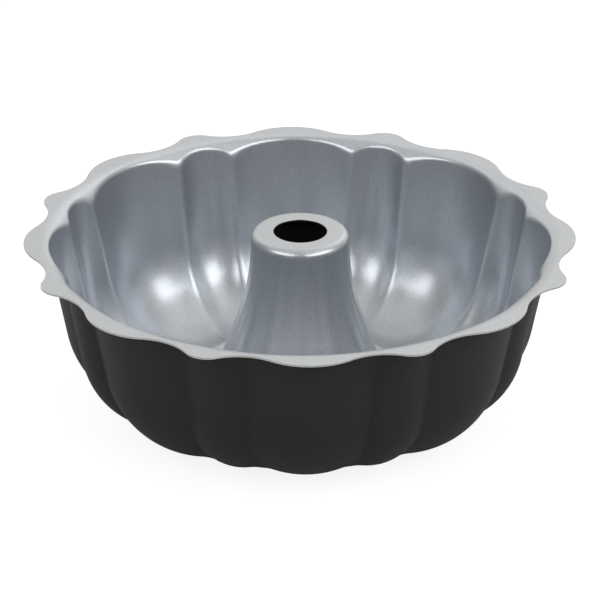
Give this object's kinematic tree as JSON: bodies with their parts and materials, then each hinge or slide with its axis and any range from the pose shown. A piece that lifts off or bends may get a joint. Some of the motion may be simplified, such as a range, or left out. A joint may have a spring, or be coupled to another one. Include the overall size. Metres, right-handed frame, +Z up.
{
  "type": "brioche mould",
  "caption": "Deep round fluted baking mould with a wavy flat rim and a tapered hollow centre tube open at its top.",
  "frame": {"origin": "on the table at the middle of the base ring", "axes": "+Z up along the tube's axis, -Y towards the viewer of the picture, with a wide flute at -Y"},
  "size_m": [0.2642, 0.2642, 0.0911],
  "materials": {
    "outer_finish": "charcoal baked finish on pressed steel, softly glossy",
    "tube_finish": "dark baked finish inside the tube and on the folded seam",
    "lining": "silver-grey non-stick lining with a fine metallic speckle, satin"
  },
  "bodies": {
    "root": {"fluted_body": "outer_finish", "centre_tube": "tube_finish", "inner_lining": "lining"}
  },
  "joints": []
}
